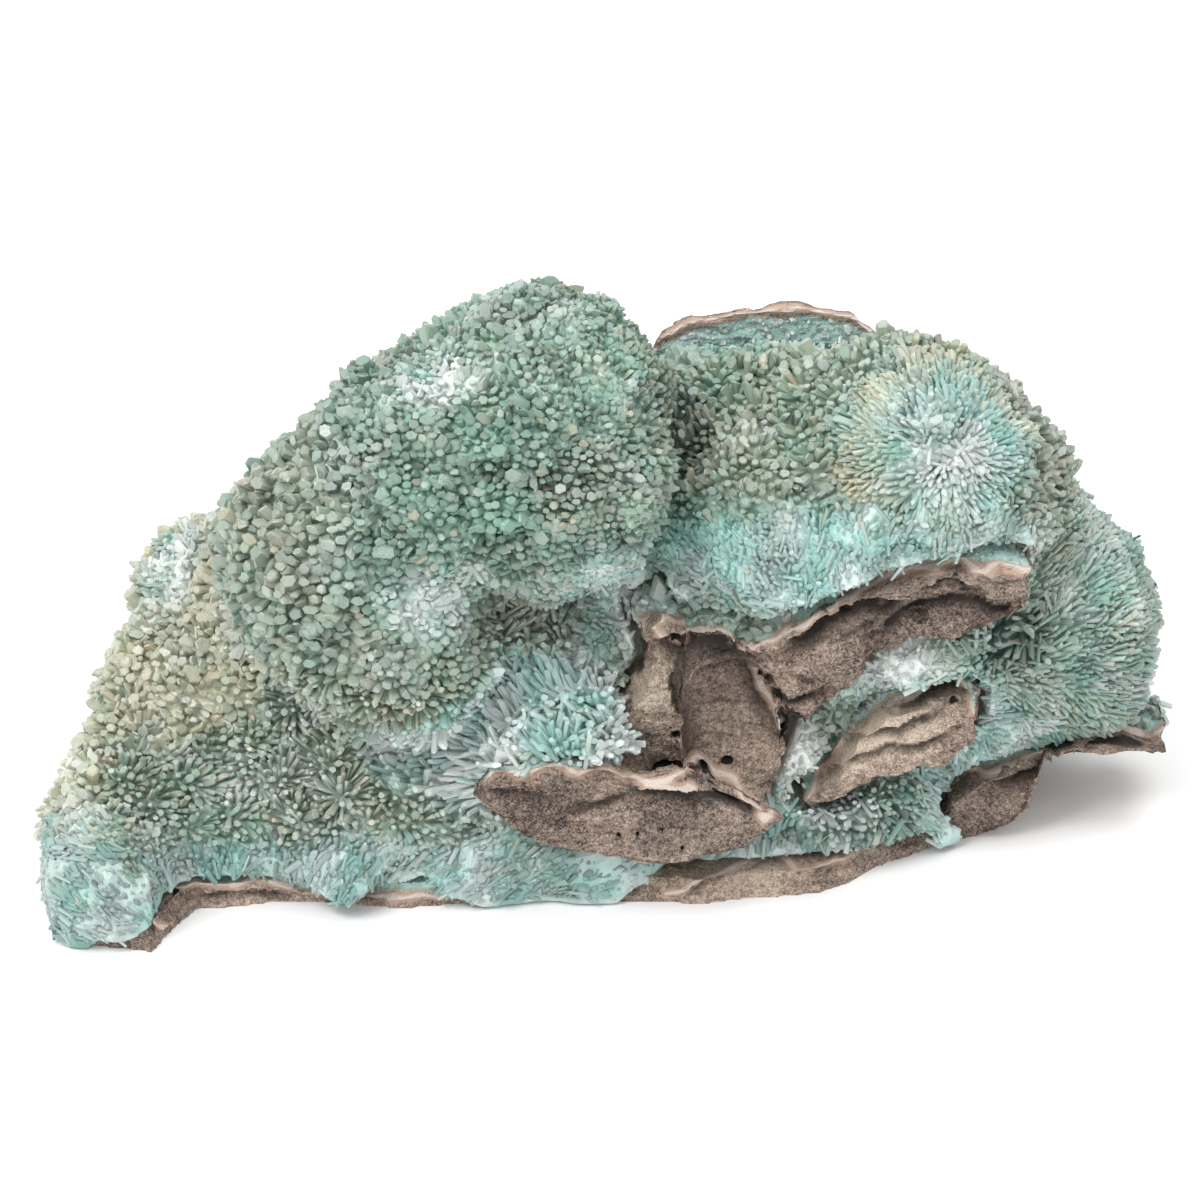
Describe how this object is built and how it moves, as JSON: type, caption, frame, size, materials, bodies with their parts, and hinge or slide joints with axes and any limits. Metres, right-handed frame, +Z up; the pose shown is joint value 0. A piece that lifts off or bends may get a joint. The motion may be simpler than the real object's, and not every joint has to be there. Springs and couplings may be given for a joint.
{
  "type": "blue aragonite specimen",
  "caption": "Hand specimen of blue-green aragonite: domes of radiating crystals on broken ribs and a resting plate of layered brown sandstone.",
  "frame": {"origin": "middle of the specimen's box, on the plane that it rests on", "axes": "+Z up, +X to the right along the specimen's length as seen from its front, -Y to the viewer"},
  "size_m": [0.2103, 0.0946, 0.108],
  "materials": {
    "aragonite": "grown crystals with flat glassy ends, pale green to sky blue",
    "sandstone": "broken layered sandstone, dull and granular, with thin pale rims"
  },
  "bodies": {
    "root": {"aragonite_crust": "aragonite", "matrix_base": "sandstone", "matrix_back": "sandstone", "matrix_front_rib": "sandstone", "matrix_middle_rib": "sandstone"}
  },
  "joints": []
}
